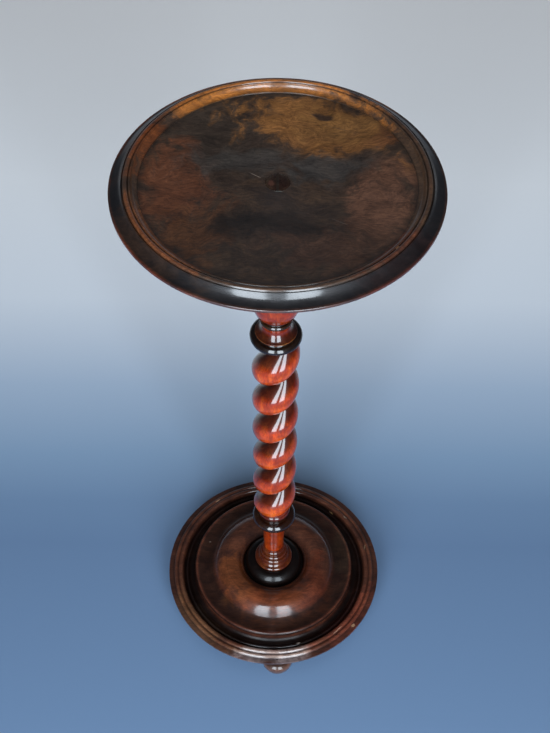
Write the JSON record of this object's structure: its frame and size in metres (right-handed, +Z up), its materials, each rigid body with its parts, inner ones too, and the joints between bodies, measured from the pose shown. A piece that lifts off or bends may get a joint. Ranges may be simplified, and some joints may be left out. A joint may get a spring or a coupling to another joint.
{
  "type": "candle stand",
  "caption": "Slender wooden candle stand: round dished top on a turned and spiral-carved column, round moulded base on small bun feet.",
  "frame": {"origin": "on the floor under the middle of the column, at the bottom centre of the bounding box", "axes": "+Z up along the column; the front, where the single foot stands, faces -Y; +X is the viewer's right"},
  "size_m": [0.305, 0.305, 0.74],
  "materials": {
    "top_wood": "dark mahogany, polished, darkest on the flat field",
    "column_wood": "red-brown mahogany, french polished",
    "base_wood": "dark red-brown mahogany, polished, worn",
    "foot_wood": "dark red-brown, polished, scuffed",
    "wedge_wood": "dark end grain under the same polish"
  },
  "bodies": {
    "root": {"top_board": "top_wood", "column": "column_wood", "base_board": "base_wood", "foot_1": "foot_wood", "foot_2": "foot_wood", "foot_3": "foot_wood", "top_wedge": "wedge_wood", "base_wedge": "wedge_wood"}
  },
  "joints": []
}
